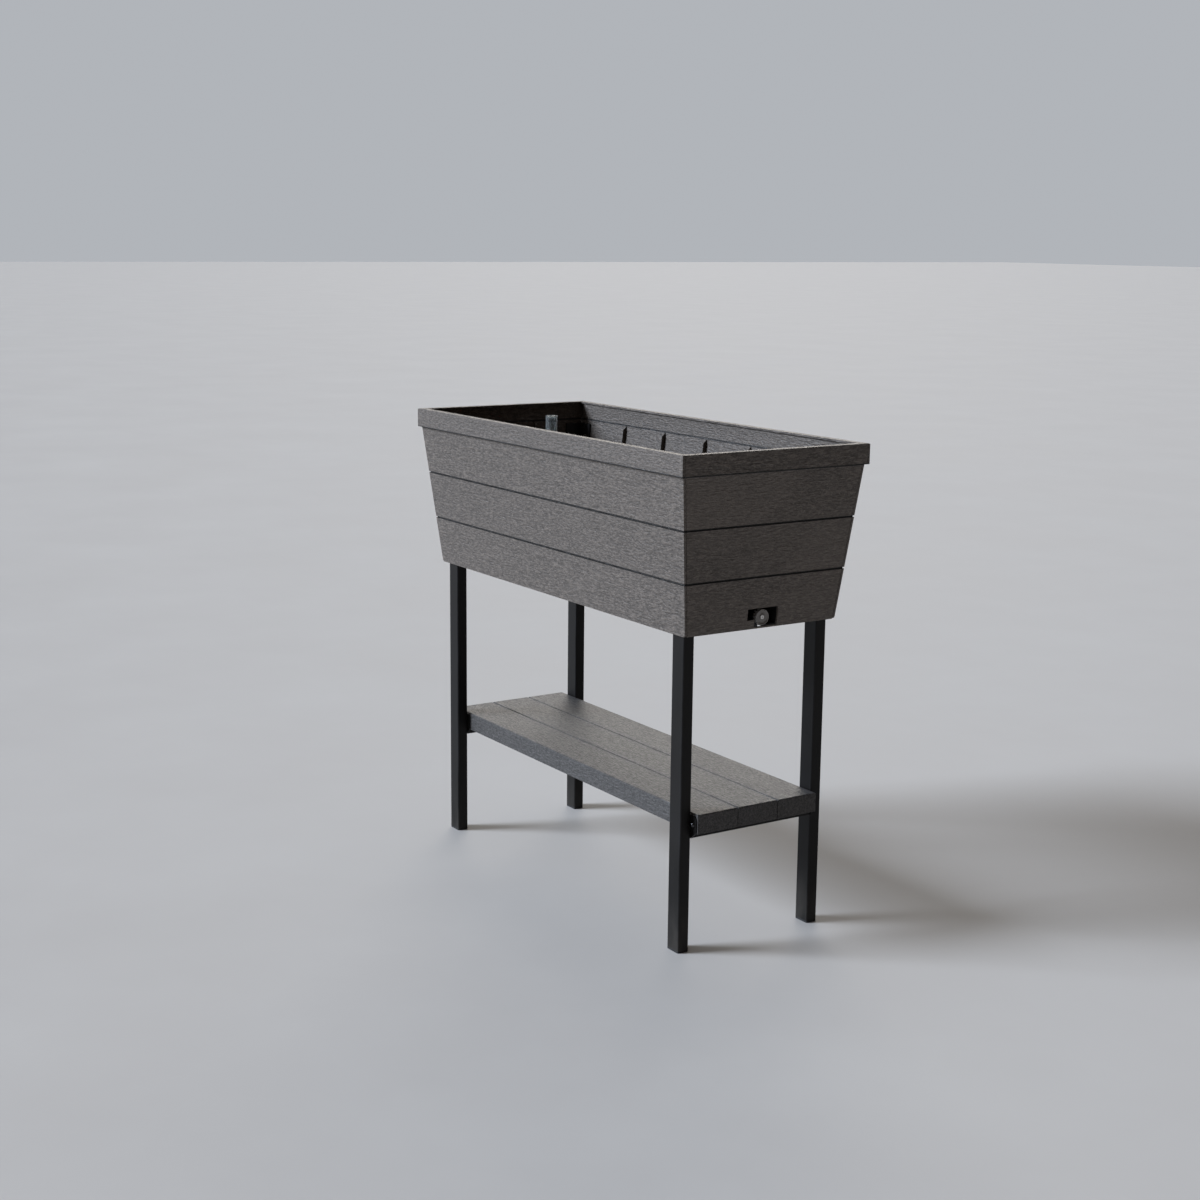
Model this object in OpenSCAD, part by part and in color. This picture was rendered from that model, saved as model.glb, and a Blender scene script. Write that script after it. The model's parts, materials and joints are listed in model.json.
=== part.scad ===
// Raised planter on legs: a tapered resin box over a water reservoir, carried by four
// steel tube legs that are tied together by a slatted shelf.
// X runs along the planter, Y across it, Z up; the origin is on the ground under its centre.

/* [Overall] */
// Height of the rim above the ground
overall_height = 780; // [700:1:900]
// Length over the rim
rim_length = 828; // [700:1:1000]
// Depth over the rim
rim_depth = 352; // [300:1:450]
// Height of the box, from its bottom edge to the rim
box_height = 277; // [230:1:330]

/* [Box walls] */
// How far each wall leans in from the rim to the bottom edge
taper = 27; // [15:0.5:35]
// Wall thickness
wall = 4; // [3:0.5:5]
// Height of the rim band
rim_height = 32; // [24:1:40]
// Width of the rim's top face
rim_width = 13; // [12:0.5:16]
// How far the rim band stands proud of the wall
rim_overhang = 5.5; // [4.5:0.5:7]
// Thickness of the rim band
rim_skin = 3; // [2:0.5:3.5]
// Number of board rows that the grooves show
board_rows = 3; // [2:1:4]
// Width of the groove between board rows
groove_width = 2.8; // [2:0.2:4]
// Depth of the groove between board rows
groove_depth = 1.8; // [1:0.1:2.4]
// Gap of the seam at each corner
corner_seam = 0.8; // [0.5:0.1:1.2]

/* [Legs] */
// Leg tube size along the planter
leg_along = 30; // [25:1:35]
// Leg tube size across the planter
leg_across = 20; // [18:1:25]
// Leg tube wall
leg_wall = 1.5; // [1.2:0.1:2]
// Inset of the legs from the ends of the box bottom
leg_inset_along = 11.5; // [11:0.5:16]
// Inset of the legs from the sides of the box bottom
leg_inset_across = 6.5; // [6.5:0.5:12]
// Depth of the leg sockets in the tray
socket_depth = 57; // [45:1:65]

/* [Shelf] */
// Height of the shelf's top face
shelf_height = 224; // [150:1:350]
// Thickness of the shelf boards
shelf_thickness = 31; // [24:1:40]
// Gap between shelf boards
board_gap = 1.2; // [0.8:0.1:3]
// How far the shelf runs past the legs
shelf_overhang = 15.5; // [12:0.5:22]
// Thickness of the rails' sheet steel
rail_sheet = 1.5; // [1.2:0.1:2]
// Depth of the rails below the shelf
rail_depth = 9.5; // [8:0.5:16]

/* [Reservoir] */
// Height of the reservoir tray
tray_height = 64; // [60:1:75]
// Wall and floor of the tray
tray_wall = 3; // [2.5:0.5:4]
// Thickness of the soil grid
grid_thickness = 3; // [2.5:0.5:4]
// Outer radius of a wicking cup at the grid
cup_radius = 32; // [24:1:36]

/* [Drain tap] */
// Radius of the tap knob
knob_radius = 13; // [11:0.5:13.5]
// Travel of the valve when it is opened
valve_travel = 4.5; // [3:0.5:5]
// Width of the drain window
window_width = 58; // [54:1:66]
// Height of the drain window's top above the box bottom
window_top = 32; // [31:0.5:34]

/* [Water gauge] */
// Outer radius of the gauge tube
gauge_radius = 11; // [9:0.5:13]
// Travel of the float
float_travel = 40; // [30:1:42]

/* [Hidden] */
$fn = 48;

resin = [0.36, 0.36, 0.37];
black_steel = [0.08, 0.08, 0.085];
black_plastic = [0.1, 0.1, 0.1];
zinc = [0.7, 0.7, 0.7];
rubber = [0.05, 0.05, 0.05];

cut = 1;             // how far a cutting shape runs past the face that it cuts
fit_gap = 0.3;       // between pieces that lie against each other
seat_gap = 0.02;     // under a screw head
span = 2 * rim_length;

// Box
box_z = overall_height - box_height;
rim_z = overall_height - rim_height;
rim_x = rim_length / 2;
rim_y = rim_depth / 2;
top_x = rim_x - rim_overhang;
top_y = rim_y - rim_overhang;
bottom_x = top_x - taper;
bottom_y = top_y - taper;
lean = atan(taper / (rim_z - box_z));
row_height = (rim_z - box_z) / board_rows;
groove_levels = [for (i = [1 : board_rows - 1]) box_z + i * row_height];
rim_bevel = 1.2;
corner_lap = wall + corner_seam;
corner_round = 4;     // bottom corners of the walls
ridge_height = 2;     // inside ridge that backs each groove
ridge_width = 10;
rib_depth = 8;        // upright ribs inside the walls
rib_thickness = 3;
rib_pitch = 125;

// Corner braces
brace_width = 34;
brace_thickness = 3;
brace_edge = wall + fit_gap + brace_width;    // inset of a brace's free edge
brace_reach = brace_edge + 2;                 // inset that the ridges keep to
brace_screw_inset = brace_width * 0.62;
brace_screw_rows = 3;
screw_radius = 1.6;
screw_head_radius = 3.6;
screw_head = 2.2;
screw_bite = 3;       // how deep a screw goes into the wall

// Tray
tray_clearance = 0.8;
tray_z0 = box_z + 5;
tray_z1 = tray_z0 + tray_height;
tray_inset = wall + tray_clearance;
tray_rib = 4;
tray_rib_width = 2;
tray_rib_columns = 4; // on each side of the middle
tray_rib_ends = 12;   // inset of the ribs' ends from the box bottom
tray_rib_legs = 25;   // gap between the ribs and the middle of a leg
sump_length = 46;     // low place in the tray floor, round the tap's nut
sump_half = 24;
sump_floor = 2;
post_radius = 8;      // posts that hold up the middle of the soil grid
post_y = 62;

// Soil grid
grid_z = tray_z1;
grid_inset = wall + ridge_height + 0.6;
grid_split = 0.6;     // half the gap between the two grids
grid_lip = 8;
grid_lip_thickness = 2;
grid_z1 = grid_z + grid_thickness + grid_lip;
slot_length = 26;
slot_width = 4;
slot_pitch = 36;
slot_row_pitch = 32;
slot_start = 39;
slot_columns = floor((bottom_x - slot_start - slot_length / 2) / slot_pitch + 1);
slot_rows = 2 * floor((bottom_y - 12) / slot_row_pitch);
cup_foot = 3;         // cup bottom above the tray floor
cup_taper = 8;
cup_wall = 2.5;
cup_slot_z = 5.5;     // cup slots above the cup bottom
brace_z0 = grid_z1 + 16;
brace_z1 = rim_z - 8;

// Legs
leg_x = bottom_x - leg_inset_along - leg_along / 2;
leg_y = bottom_y - leg_inset_across - leg_across / 2;
leg_corner = 2.5;
foot_height = 3;
leg_top = tray_z0 + socket_depth;
foot_insert = 22;
socket_gap = 0.5;
socket_wall = 3;
socket_lid = 7;       // least thickness over a leg
socket_half_x = leg_along / 2 + socket_gap + socket_wall;
socket_half_y = leg_across / 2 + socket_gap + socket_wall;
boss_z1 = leg_top + socket_lid;
boss_is_raised = boss_z1 > tray_z1 + fit_gap; // deep sockets stand up through the soil grid
bolt_seat = boss_is_raised ? boss_z1 : tray_z1;
plug_length = 25;
plug_gap = 0.2;
m6 = 3;
m6_clearance = 3.4;
washer_radius = 8;
washer_height = 1.6;
bolt_head_radius = 5.2;
bolt_head = 4;
leg_bolt_length = 28;
bolt_access = 11;     // hole in the soil grid over each leg bolt

// Shelf
shelf_z0 = shelf_height - shelf_thickness;
leg_inner_y = leg_y - leg_across / 2;
leg_outer_x = leg_x + leg_along / 2;
tab_y = leg_inner_y - rail_sheet;
shelf_half_depth = tab_y - fit_gap;
shelf_half_length = leg_outer_x + shelf_overhang;
shelf_boards = 3;
board_width = (2 * shelf_half_depth - (shelf_boards - 1) * board_gap) / shelf_boards;
board_skin = 3;
cell_wall = 2.5;
board_side = 7;       // thicker side of a board's end, for the side bolts
board_bevel = 1.5;
board_cells = 8;
rail_x1 = leg_outer_x;
rail_x0 = leg_x - leg_along / 2;
rail_z0 = shelf_z0 - rail_depth;
tab_margin = 2;       // between a tab's edges and the edges of the shelf
tab_x0 = rail_x0 - 8;
tab_x1 = shelf_half_length - tab_margin;
tab_z0 = shelf_z0 + tab_margin;
tab_z1 = shelf_height - 2.5;
tab_corner = 5;
m5 = 2.5;
m5_clearance = 2.7;
key_radius = 1.6;     // hexagon recess in a bolt head
rail_bolt_z = [shelf_z0 + 6.5, shelf_height - 8.5];
rail_bolt_head = 2.2;
rail_bolt_head_radius = 4.8;
bolt_room = 8;        // half the width of the room round the rail bolts' heads
rail_bolt_grip = 9;
nut_radius = 4.6;
nut_height = 3.6;
side_bolt_x = leg_outer_x + 6;
side_bolt_z = shelf_z0 + shelf_thickness * 0.45;
side_bolt_head_radius = 4.5;
side_bolt_head = 4.2;
side_bolt_length = 20;
board_screw_length = 20;
board_screw_radius = 2;
board_boss = 5.5;

// Drain tap, along X through the drain end
knob_gap = 2;         // round the knob in the drain window
tap_z = box_z + window_top - knob_radius - knob_gap;
window_sill = box_z + 14;
window_z0 = tap_z - knob_radius - 1.5;
pocket_depth = 34;
pocket_half = window_width / 2 + 2;
pocket_z1 = box_z + window_top + 4;
pocket_x = bottom_x - pocket_depth;
spigot_radius = 8;
spigot_bore = 5.5;
tap_flange_radius = 13;
tap_flange = 3;
gasket = 2;
spigot_length = 14;
lock_nut = 6;
lock_nut_flats = 11.5;
sump_z1 = tap_z - lock_nut_flats - 2.8;
sump_z0 = sump_z1 - sump_floor;
cup_far = pocket_x - sump_length - cup_radius - 7.5;
cup_x = [0.4275 * cup_far, cup_far];
barrel_radius = 9.5;
barrel_bore = 6.6;
seat_bore = 3.5;
seat_length = 3;
washer_thickness = 2.5;
spindle_disc = 1.5;
bonnet_insert = 5;
end_gap = 0.9;        // between the opened spindle and the bonnet
barrel_length = seat_length + 2 * fit_gap + washer_thickness + spindle_disc + valve_travel + end_gap
    + bonnet_insert;
spout_radius = 6;
spout_bore = 4;
spout_z0 = box_z - 1.5;
flange_x = pocket_x + gasket;
barrel_x = flange_x + tap_flange;
seat_x = barrel_x + seat_length;
barrel_end = barrel_x + barrel_length;
spout_x = seat_x + 6;
washer_x = seat_x + fit_gap;
disc_x = washer_x + washer_thickness + fit_gap;
washer_disc = 5.4;
spindle_radius = 2.5;
spindle_gap = 0.08;
bonnet_head = 3;
o_ring_radius = 0.75;
knob_x = barrel_end + bonnet_head + 1;
knob_length = 9;
knob_flutes = 18;
flute_radius = 1.3;
knob_recess = 1.6;
knob_skirt = 2.6;     // thickness of the knob's round wall
knob_hub = 4.6;
knob_bore = 5;
knob_screw_radius = 3.2;
knob_screw_seat = 2.4; // depth of the screw's recess

// Water gauge
gauge_x = -(leg_x - 20);
gauge_y = 58;
gauge_wall = 1.5;
gauge_foot = tray_z0 + tray_wall + 1.5;
gauge_top = rim_z - 46;
gauge_collar = 1.6;   // how far the seat on the soil grid stands out
float_radius = gauge_radius - gauge_wall - 1;
float_height = 24;
float_z = gauge_foot + 2.5;
rod_radius = 1.6;
rod_grip = 10;        // length of the rod inside the float
indicator_height = 14;
indicator_z = gauge_top + 5;
window_roof = 2;
window_insert = 10;
window_z1 = indicator_z + indicator_height + float_travel + window_roof + 1;

// ---- Shared geometry ----

// Outer half width of a wall at height z, from its half width at the box bottom
function half_at(b, z) = b + taper * (z - box_z) / (rim_z - box_z);

// Outer face of a wall from bottom to rim, notched at each groove
function groove(b, z) = let (h = groove_width / 2, e = groove_depth / 3)
    [[half_at(b, z - h), z - h], [half_at(b, z) - groove_depth, z - h + e],
     [half_at(b, z) - groove_depth, z + h - e], [half_at(b, z + h), z + h]];
function face_line(b) = concat([[b, box_z]], [for (z = groove_levels) each groove(b, z)],
    [[half_at(b, rim_z), rim_z]]);

// Ridge on the inside of a wall, behind a groove
function ridge(b, z) = let (h = ridge_width / 2, inside = half_at(b, z) - wall)
    [[inside + cut, z + h], [inside - ridge_height, z + h / 2],
     [inside - ridge_height, z - h / 2], [inside + cut, z - h]];

// Outline of an upright rib on the inside of a wall
function upright_rib(b) = [
    [half_at(b, brace_z0) - wall - rib_depth, brace_z0],
    [half_at(b, brace_z0) - wall + cut, brace_z0],
    [half_at(b, rim_z) - wall + cut, rim_z],
    [half_at(b, rim_z) - wall - rib_depth, rim_z - rib_depth]];

// Cross section of a wall with its rim band
function wall_section(b) = let (t = b + taper, r = t + rim_overhang, under = overall_height - rim_skin)
    concat(face_line(b),
    [[t, under], [r - rim_skin, under], [r - rim_skin, rim_z], [r, rim_z],
     [r, overall_height - rim_bevel], [r - rim_bevel, overall_height],
     [r - rim_width, overall_height], [r - rim_width, under], [t - wall, under],
     [t - wall, rim_z], [b - wall, box_z]]);

// Joins the right-hand edge of an outline to its mirror image
function mirrored(points) = [for (i = [len(points) - 1 : -1 : 0]) [-points[i][0], points[i][1]]];
function both_sides(points) = concat(points, mirrored(points));

// Silhouette of the box seen square on: rounded bottom corners, grooves and rim
function tail(points) = [for (i = [1 : len(points) - 1]) points[i]];
function bottom_corner(b) = [for (a = [0 : 22.5 : 90]) let (r = corner_round)
    [half_at(b, box_z + r * (1 - cos(a))) - r * (1 - sin(a)), box_z + r * (1 - cos(a))]];
function silhouette(b) = let (r = b + taper + rim_overhang) both_sides(concat(
    bottom_corner(b), tail(face_line(b)),
    [[r, rim_z], [r, overall_height - rim_bevel], [r - rim_bevel, overall_height]]));

// The same silhouette without detail, inset all round
function inset_silhouette(b, inset) = both_sides([
    [half_at(b, box_z - cut) - inset, box_z - cut], [b + taper - inset, rim_z],
    [b + taper + rim_overhang - inset, rim_z], [b + taper + rim_overhang - inset, overall_height + cut]]);

// Trapezium that follows both walls at an inset, between two heights
function between_walls(b, inset, z0, z1) =
    [[half_at(b, z0) - inset, z0], [half_at(b, z1) - inset, z1],
     [-half_at(b, z1) + inset, z1], [-half_at(b, z0) + inset, z0]];

function rounded(w, d, r, steps = 4) = [for (q = [0 : 3], s = [0 : steps])
    let (a = 90 * q + 90 * s / steps, sx = (q == 0 || q == 3) ? 1 : -1, sy = q < 2 ? 1 : -1)
    [sx * (w / 2 - r) + r * cos(a), sy * (d / 2 - r) + r * sin(a)]];

// Extrusions of a (Y, Z) outline along X, and of an (X, Z) outline along Y
module along_x(length = span) rotate([90, 0, 90])
    linear_extrude(height = length, center = true) children();
module along_y(length = span) rotate([90, 0, 0])
    linear_extrude(height = length, center = true) children();
module rounded_bar(w, d, r, h) linear_extrude(height = h) polygon(rounded(w, d, r));

// A solid that fills the box at an inset from its walls
module box_fill(inset, z0, z1) intersection() {
    along_x() polygon(between_walls(bottom_y, inset, z0, z1));
    along_y() polygon(between_walls(bottom_x, inset, z0, z1));
}

// Puts its children in the quadrant given by the signs of X and Y
module quadrant(sx, sy) mirror([sx < 0 ? 1 : 0, 0, 0]) mirror([0, sy < 0 ? 1 : 0, 0]) children();
module all_quadrants() for (sx = [-1, 1], sy = [-1, 1]) quadrant(sx, sy) children();

// Frame on the inner face of a wall: +Z points into the box, X runs along the wall
module on_side_wall(x, z) translate([x, half_at(bottom_y, z) - wall, z])
    rotate([90 - lean, 0, 0]) children();
module on_end_wall(y, z) translate([half_at(bottom_x, z) - wall, y, z])
    rotate([0, -(90 - lean), 0]) children();

module screw(grip) {
    translate([0, 0, -screw_bite]) cylinder(r = screw_radius, h = screw_bite + grip + screw_head / 2);
    translate([0, 0, grip]) difference() {
        cylinder(r = screw_head_radius, h = screw_head);
        for (a = [0, 90]) rotate([0, 0, a])
            translate([-2, -0.4, screw_head - 1]) cube([4, 0.8, 1 + cut]);
    }
}
module screw_pilot() translate([0, 0, -screw_bite - fit_gap])
    cylinder(r = screw_radius + 0.05, h = screw_bite + fit_gap + cut);

// ---- Screw places ----

function brace_screw_z(i) = brace_z0 + (brace_z1 - brace_z0) * (i + 0.5) / brace_screw_rows;
tray_screw_z = tray_z1 - 7;
tray_side_screws = [for (i = [-2 : 2]) i * rim_length / 6.5];
tray_end_screws = [-70, 70];

module brace_screw_places() for (i = [0 : brace_screw_rows - 1]) {
    z = brace_screw_z(i);
    on_side_wall(half_at(bottom_x, z) - wall - brace_screw_inset, z) children();
    on_end_wall(half_at(bottom_y, z) - wall - brace_screw_inset, z) children();
}
module tray_side_places() for (x = tray_side_screws) on_side_wall(x, tray_screw_z) children();
module tray_end_places() for (y = tray_end_screws) on_end_wall(y, tray_screw_z) children();

// ---- Box walls ----

// Room for the end walls' rims, between the side walls' rims
module end_rim_room() for (side = [0, 1]) mirror([side, 0, 0])
    translate([rim_x - rim_width - fit_gap, wall - rim_y, rim_z - fit_gap])
        cube([rim_width + fit_gap + cut, 2 * (rim_y - wall), rim_height + fit_gap + cut]);

// A wall on the +Y side with its ridges and upright ribs; b and across are the half widths
// of the box bottom across this wall and along it
module ribbed_wall(b, across, ribs) {
    along_x() polygon(wall_section(b));
    for (z = groove_levels) if (z > tray_z1 + ridge_width)
        along_x(2 * (half_at(across, z) - brace_reach)) polygon(ridge(b, z));
    for (i = ribs) translate([i * rib_pitch, 0, 0])
        along_x(rib_thickness) polygon(upright_rib(b));
}

// The long wall on the +Y side; its ends lap over the end walls
module side_panel() color(resin) difference() {
    intersection() {
        union() {
            ribbed_wall(bottom_y, bottom_x, [-2 : 2]);
            for (side = [-1, 1]) translate([side * rim_x, rim_y - wall, rim_z + rim_height / 2 - cut])
                cube([2 * wall, 2 * wall - cut, rim_height - 2 * cut], center = true);
        }
        along_y() polygon(silhouette(bottom_x));
    }
    end_rim_room();
    for (side = [0, 1]) mirror([side, 0, 0]) brace_screw_places() screw_pilot();
    tray_side_places() screw_pilot();
}

// The short wall on the +X side, between the long walls
module end_panel() color(resin) difference() {
    intersection() {
        rotate([0, 0, -90]) ribbed_wall(bottom_x, bottom_y, [-0.5, 0.5]);
        along_x() polygon(inset_silhouette(bottom_y, corner_lap));
    }
    for (side = [0, 1]) mirror([0, side, 0]) brace_screw_places() screw_pilot();
    tray_end_places() screw_pilot();
}

module front_panel() mirror([0, 1, 0]) side_panel();
module back_panel() side_panel();
module plain_end_panel() mirror([1, 0, 0]) end_panel();

// The window is deeper on the knob's side
module drain_end_panel() color(resin) difference() {
    end_panel();
    translate([bottom_x, 0, 0]) along_x(6 * wall) polygon([
        [-window_width / 2, window_sill], [-knob_radius - knob_gap, window_sill],
        [-knob_radius - knob_gap, window_z0],
        [window_width / 2, window_z0], [window_width / 2, box_z + window_top],
        [-window_width / 2, box_z + window_top]]);
}

// Angle that follows both walls up a corner
module corner_brace() color(black_plastic) difference() {
    intersection() {
        along_x() polygon(between_walls(bottom_y, wall + fit_gap, brace_z0, brace_z1));
        along_y() polygon(between_walls(bottom_x, wall + fit_gap, brace_z0, brace_z1));
        translate([0, 0, brace_z0]) cube([rim_x, rim_y, rim_z]);
    }
    inset = wall + fit_gap + brace_thickness;
    box_fill(inset, brace_z0 - cut, brace_z1 + cut);
    along_x() polygon(between_walls(bottom_y, brace_edge, box_z, overall_height));
    along_y() polygon(between_walls(bottom_x, brace_edge, box_z, overall_height));
    brace_screw_places() cylinder(r = screw_radius + 0.2, h = 20, center = true);
}
module brace_screws() color(zinc) all_quadrants() brace_screw_places()
    screw((brace_thickness + fit_gap) * cos(lean) + seat_gap);

// ---- Reservoir ----

module leg_socket(gap, z0, z1) translate([leg_x, leg_y, z0])
    rounded_bar(leg_along + 2 * gap, leg_across + 2 * gap, leg_corner + gap, z1 - z0);

// Boss of a socket that stands higher than the tray
module socket_boss(gap, z1)
    translate([leg_x - socket_half_x - gap, leg_y - socket_half_y - gap, tray_z1 - cut])
    cube([2 * (socket_half_x + gap), 2 * (socket_half_y + gap), z1 - tray_z1 + cut]);

// Ribs under the tray floor, the outside of the sump and the floor under the tap
module tray_underside() {
    rib_x = leg_x - tray_rib_legs;
    rib_y = bottom_y - tray_rib_ends;
    for (i = [-tray_rib_columns : tray_rib_columns])
        translate([i * rib_x / tray_rib_columns - tray_rib_width / 2, -rib_y, tray_z0 - tray_rib])
        cube([tray_rib_width, 2 * rib_y, tray_rib + cut]);
    for (y = [-post_y, post_y]) translate([-rib_x, y - tray_rib_width / 2, tray_z0 - tray_rib])
        cube([2 * rib_x, tray_rib_width, tray_rib + cut]);
    translate([pocket_x - sump_length, -sump_half, sump_z0])
        cube([sump_length + cut, 2 * sump_half, tray_z0 + cut - sump_z0]);
    translate([pocket_x - tray_wall, -pocket_half - tray_wall, sump_z0])
        cube([knob_x - knob_gap - pocket_x + tray_wall, 2 * (pocket_half + tray_wall),
            tray_z0 + cut - sump_z0]);
}

// Room for the tap, with a slot in its floor that lets the spout in from the end
module tap_pocket() {
    translate([pocket_x, -pocket_half, sump_z1]) cube([rim_x, 2 * pocket_half, pocket_z1 - sump_z1]);
    translate([spout_x - spout_radius - cut, -spout_radius - cut, sump_z0 - cut])
        cube([rim_x, 2 * (spout_radius + cut), sump_floor + 2 * cut]);
    translate([pocket_x - 2 * tray_wall, 0, tap_z]) rotate([0, 90, 0])
        cylinder(r = spigot_radius + 0.3, h = 4 * tray_wall);
}

// Water space, less the leg sockets, the tap pocket and the middle posts
module water_space() {
    difference() {
        box_fill(tray_inset + tray_wall, tray_z0 + tray_wall, tray_z1 + cut);
        all_quadrants() translate([leg_x - socket_half_x, leg_y - socket_half_y, tray_z0])
            cube([rim_x, rim_y, tray_height + 2 * cut]);
        translate([pocket_x - tray_wall, -pocket_half - tray_wall, tray_z0])
            cube([rim_x, 2 * (pocket_half + tray_wall), pocket_z1 + tray_wall - tray_z0]);
        for (y = [-post_y, post_y]) translate([0, y, tray_z0])
            cylinder(r = post_radius, h = tray_height + 2 * cut);
    }
    translate([pocket_x - tray_wall, tray_wall - sump_half, sump_z1]) mirror([1, 0, 0])
        cube([sump_length - 2 * tray_wall, 2 * (sump_half - tray_wall), tray_z0 + 2 * tray_wall - sump_z1]);
}

module reservoir_tray() color(black_plastic) difference() {
    union() {
        box_fill(tray_inset, tray_z0, tray_z1);
        tray_underside();
        if (boss_is_raised) all_quadrants() socket_boss(0, boss_z1);
    }
    water_space();
    all_quadrants() {
        leg_socket(socket_gap, tray_z0 - cut, leg_top);
        translate([leg_x, leg_y, leg_top - cut]) cylinder(r = m6_clearance, h = tray_height);
    }
    tap_pocket();
    for (side = [0, 1]) {
        mirror([0, side, 0]) tray_side_places() cylinder(r = screw_radius + 0.2, h = 12, center = true);
        mirror([side, 0, 0]) tray_end_places() cylinder(r = screw_radius + 0.2, h = 12, center = true);
    }
}
module tray_screws() color(zinc) for (side = [0, 1]) {
    mirror([0, side, 0]) tray_side_places() screw((tray_clearance + tray_wall) * cos(lean) + seat_gap);
    mirror([side, 0, 0]) tray_end_places() screw((tray_clearance + tray_wall) * cos(lean) + seat_gap);
}

module wicking_cup(hollow) {
    foot = tray_z0 + tray_wall + cup_foot;
    height = grid_z - foot;
    if (!hollow) translate([0, 0, foot])
        cylinder(r1 = cup_radius - cup_taper, r2 = cup_radius, h = height + grid_thickness / 2);
    if (hollow) translate([0, 0, foot]) {
        translate([0, 0, cup_wall]) cylinder(r1 = cup_radius - cup_taper - cup_wall,
            r2 = cup_radius - cup_wall, h = height + grid_thickness);
        for (a = [0 : 30 : 150]) rotate([0, 0, a])
            translate([-cup_radius - cut, -slot_width / 2, cup_slot_z])
            cube([2 * (cup_radius + cut), slot_width, height * 0.6]);
    }
}

// Circles that the drain slots keep off: cups, post, leg bolt and gauge, each as [x, y, radius]
keep_off = concat([for (x = cup_x) [x, 0, cup_radius]],
    [[0, post_y, post_radius], [leg_x, leg_y, bolt_access], [-gauge_x, gauge_y, gauge_radius]]);
function slot_is_clear(x, y) =
    min([for (c = keep_off) norm([x - c[0], abs(y) - c[1]]) - c[2]]) > slot_length / 2 + 3;

// Half of the perforated floor that carries the soil over the water, on the +X side
module soil_grid() color(black_plastic) difference() {
    union() {
        intersection() {
            box_fill(grid_inset, grid_z, grid_z1);
            translate([grid_split, -rim_y, grid_z]) cube([rim_x, rim_depth, tray_height]);
        }
        for (x = cup_x) translate([x, 0, 0]) wicking_cup(false);
    }
    difference() {
        box_fill(grid_inset + grid_lip_thickness, grid_z + grid_thickness, grid_z + tray_height);
        translate([-rim_x, -rim_y, 0])
            cube([rim_x + grid_split + grid_lip_thickness, rim_depth, overall_height]);
    }
    for (x = cup_x) translate([x, 0, 0]) wicking_cup(true);
    for (column = [0 : slot_columns - 1], row = [0 : slot_rows - 1]) {
        x = slot_start + column * slot_pitch;
        y = (row - (slot_rows - 1) / 2) * slot_row_pitch;
        if (slot_is_clear(x, y)) translate([x - slot_length / 2, y - slot_width / 2, grid_z - cut])
            cube([slot_length, slot_width, grid_thickness + 2 * cut]);
    }
    for (side = [0, 1]) mirror([0, side, 0]) {
        translate([leg_x, leg_y, grid_z - cut]) cylinder(r = bolt_access, h = grid_thickness + 2 * cut);
        if (boss_is_raised) socket_boss(fit_gap, overall_height);
    }
}
module soil_grid_right() soil_grid();
module soil_grid_left() color(black_plastic) difference() {
    mirror([1, 0, 0]) soil_grid();
    translate([gauge_x, gauge_y, grid_z - cut])
        cylinder(r = gauge_radius + fit_gap, h = grid_thickness + 2 * cut);
}

// ---- Legs ----

module leg(sx, sy) color(black_steel) quadrant(sx, sy) difference() {
    translate([leg_x, leg_y, foot_height])
        rounded_bar(leg_along, leg_across, leg_corner, leg_top - foot_height);
    translate([leg_x, leg_y, foot_height - cut]) rounded_bar(leg_along - 2 * leg_wall,
        leg_across - 2 * leg_wall, leg_corner - leg_wall, leg_top);
    for (z = rail_bolt_z) translate([leg_x, leg_inner_y - cut, z]) rotate([-90, 0, 0])
        cylinder(r = m5_clearance, h = leg_wall + 2 * cut);
}

module tube_insert(h) rounded_bar(leg_along - 2 * leg_wall - 2 * plug_gap,
    leg_across - 2 * leg_wall - 2 * plug_gap, leg_corner - leg_wall, h);

module foot_cap(sx, sy) color(black_plastic) quadrant(sx, sy) translate([leg_x, leg_y, 0]) difference() {
    union() {
        rounded_bar(leg_along, leg_across, leg_corner, foot_height);
        tube_insert(foot_insert);
    }
    translate([0, 0, foot_height]) rounded_bar(leg_along - 2 * (leg_wall + foot_height),
        leg_across - 2 * (leg_wall + foot_height), 1, foot_insert);
}

module leg_plug(sx, sy) color(black_plastic) quadrant(sx, sy)
    translate([leg_x, leg_y, leg_top - plug_length]) difference() {
        tube_insert(plug_length);
        translate([0, 0, -cut]) cylinder(r = m6 + 0.05, h = plug_length + 2 * cut);
    }

module leg_washers() color(zinc) all_quadrants() translate([leg_x, leg_y, bolt_seat]) difference() {
    cylinder(r = washer_radius, h = washer_height);
    translate([0, 0, -cut]) cylinder(r = m6_clearance, h = washer_height + 2 * cut);
}
module leg_bolts() color(zinc) all_quadrants() translate([leg_x, leg_y, bolt_seat + washer_height]) {
    difference() {
        cylinder(r = bolt_head_radius / cos(30), h = bolt_head, $fn = 6);
        translate([0, 0, bolt_head - 1]) cylinder(r = bolt_head_radius / 2, h = 1 + cut);
    }
    translate([0, 0, -leg_bolt_length]) cylinder(r = m6, h = leg_bolt_length + bolt_head / 2);
}

// ---- Shelf ----

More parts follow.
